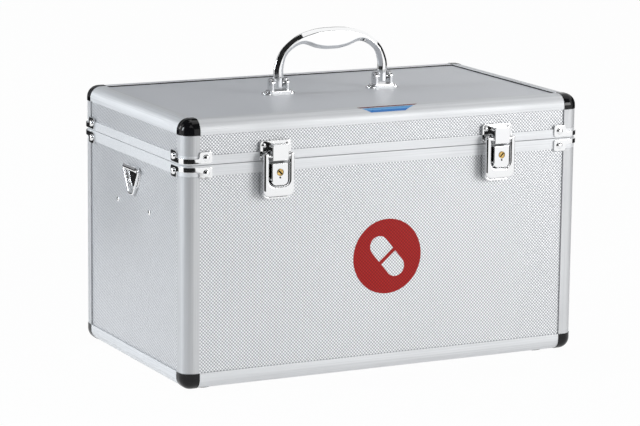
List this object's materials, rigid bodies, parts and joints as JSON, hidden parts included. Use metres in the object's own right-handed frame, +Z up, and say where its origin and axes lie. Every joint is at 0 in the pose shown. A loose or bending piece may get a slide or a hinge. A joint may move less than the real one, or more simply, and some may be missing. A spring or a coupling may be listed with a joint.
{
  "type": "medication lock box",
  "caption": "Carrying case for medicines with a hinged lid, hasp locks, swing handle, strap rings and lift-out tray.",
  "frame": {"origin": "centre of the bounding box at the height of the feet's undersides", "axes": "+X along the front from the left to the right lock, +Y from the front to the rear, +Z up"},
  "size_m": [0.4074, 0.2483, 0.3034],
  "materials": {
    "edge_extrusion": "satin",
    "embossed_panel": "satin",
    "smooth_panel": "satin",
    "bright_chrome": "polished",
    "hinge_metal": "satin",
    "key_brass": "satin",
    "corner_plastic": "gloss",
    "foot_rubber": "matte",
    "tray_plastic": "matte"
  },
  "bodies": {
    "case": {"front_panel": "embossed_panel", "right_panel": "embossed_panel", "rear_panel": "embossed_panel", "left_panel": "embossed_panel", "bottom_panel": "smooth_panel", "corner_post_front_left": "edge_extrusion", "corner_post_front_right": "edge_extrusion", "corner_post_rear_right": "edge_extrusion", "corner_post_rear_left": "edge_extrusion", "bottom_edge_front": "edge_extrusion", "bottom_edge_right": "edge_extrusion", "bottom_edge_rear": "edge_extrusion", "bottom_edge_left": "edge_extrusion", "bottom_cap_front_left": "corner_plastic", "bottom_cap_front_right": "corner_plastic", "bottom_cap_rear_right": "corner_plastic", "bottom_cap_rear_left": "corner_plastic", "foot_front_left": "foot_rubber", "foot_front_right": "foot_rubber", "foot_rear_right": "foot_rubber", "foot_rear_left": "foot_rubber", "body_rim": "edge_extrusion", "lower_brace_front_left": "bright_chrome", "lower_brace_front_right": "bright_chrome", "lower_brace_rear_right": "bright_chrome", "lower_brace_rear_left": "bright_chrome", "latch_base_left": "bright_chrome", "latch_base_right": "bright_chrome", "strap_plate_left": "bright_chrome", "strap_plate_right": "bright_chrome", "hinge_leaf_body": "hinge_metal", "hinge_pin": "bright_chrome"},
    "lid": {"lid_top_panel": "smooth_panel", "lid_skirt": "embossed_panel", "lid_rim": "edge_extrusion", "top_edge_front": "edge_extrusion", "top_edge_right": "edge_extrusion", "top_edge_rear": "edge_extrusion", "top_edge_left": "edge_extrusion", "top_cap_front_left": "corner_plastic", "top_cap_front_right": "corner_plastic", "top_cap_rear_right": "corner_plastic", "top_cap_rear_left": "corner_plastic", "upper_brace_front_left": "bright_chrome", "upper_brace_front_right": "bright_chrome", "upper_brace_rear_right": "bright_chrome", "upper_brace_rear_left": "bright_chrome", "handle_bracket_left": "bright_chrome", "handle_bracket_right": "bright_chrome", "latch_keeper_left": "bright_chrome", "latch_keeper_right": "bright_chrome", "hinge_leaf_lid": "hinge_metal"},
    "handle": {"carrying_handle": "bright_chrome"},
    "left_hasp": {"latch_hasp_left": "bright_chrome"},
    "right_hasp": {"latch_hasp_right": "bright_chrome"},
    "left_lock": {"lock_cylinder_left": "key_brass"},
    "right_lock": {"lock_cylinder_right": "key_brass"},
    "left_ring": {"strap_ring_left": "bright_chrome"},
    "right_ring": {"strap_ring_right": "bright_chrome"},
    "tray": {"tray": "tray_plastic"}
  },
  "joints": [
    {"name": "lid_hinge", "type": "hinge", "parent": "case", "child": "lid", "pos_m": [0, 0.1212, 0.20505], "axis": [-1, 0, 0], "range_deg": [0, 100]},
    {"name": "handle_swing", "type": "hinge", "parent": "lid", "child": "handle", "pos_m": [0, 0.0028, 0.2544], "axis": [1, 0, 0], "range_deg": [-90, 90]},
    {"name": "left_hasp_swing", "type": "hinge", "parent": "lid", "child": "left_hasp", "pos_m": [-0.1123, -0.1202, 0.2105], "axis": [-1, 0, 0], "range_deg": [0, 150]},
    {"name": "right_hasp_swing", "type": "hinge", "parent": "lid", "child": "right_hasp", "pos_m": [0.1123, -0.1202, 0.2105], "axis": [-1, 0, 0], "range_deg": [0, 150]},
    {"name": "left_key_turn", "type": "hinge", "parent": "case", "child": "left_lock", "pos_m": [-0.1123, -0.1202, 0.1957], "axis": [0, 1, 0], "range_deg": [0, 90]},
    {"name": "right_key_turn", "type": "hinge", "parent": "case", "child": "right_lock", "pos_m": [0.1123, -0.1202, 0.1957], "axis": [0, 1, 0], "range_deg": [0, 90]},
    {"name": "left_ring_swing", "type": "hinge", "parent": "case", "child": "left_ring", "pos_m": [-0.2012, 0.0028, 0.185], "axis": [0, 1, 0], "range_deg": [0, 150]},
    {"name": "right_ring_swing", "type": "hinge", "parent": "case", "child": "right_ring", "pos_m": [0.2012, 0.0028, 0.185], "axis": [0, -1, 0], "range_deg": [0, 150]},
    {"name": "tray_lift", "type": "slide", "parent": "case", "child": "tray", "axis": [0, 0, 1], "range_m": [0, 0.03]}
  ]
}
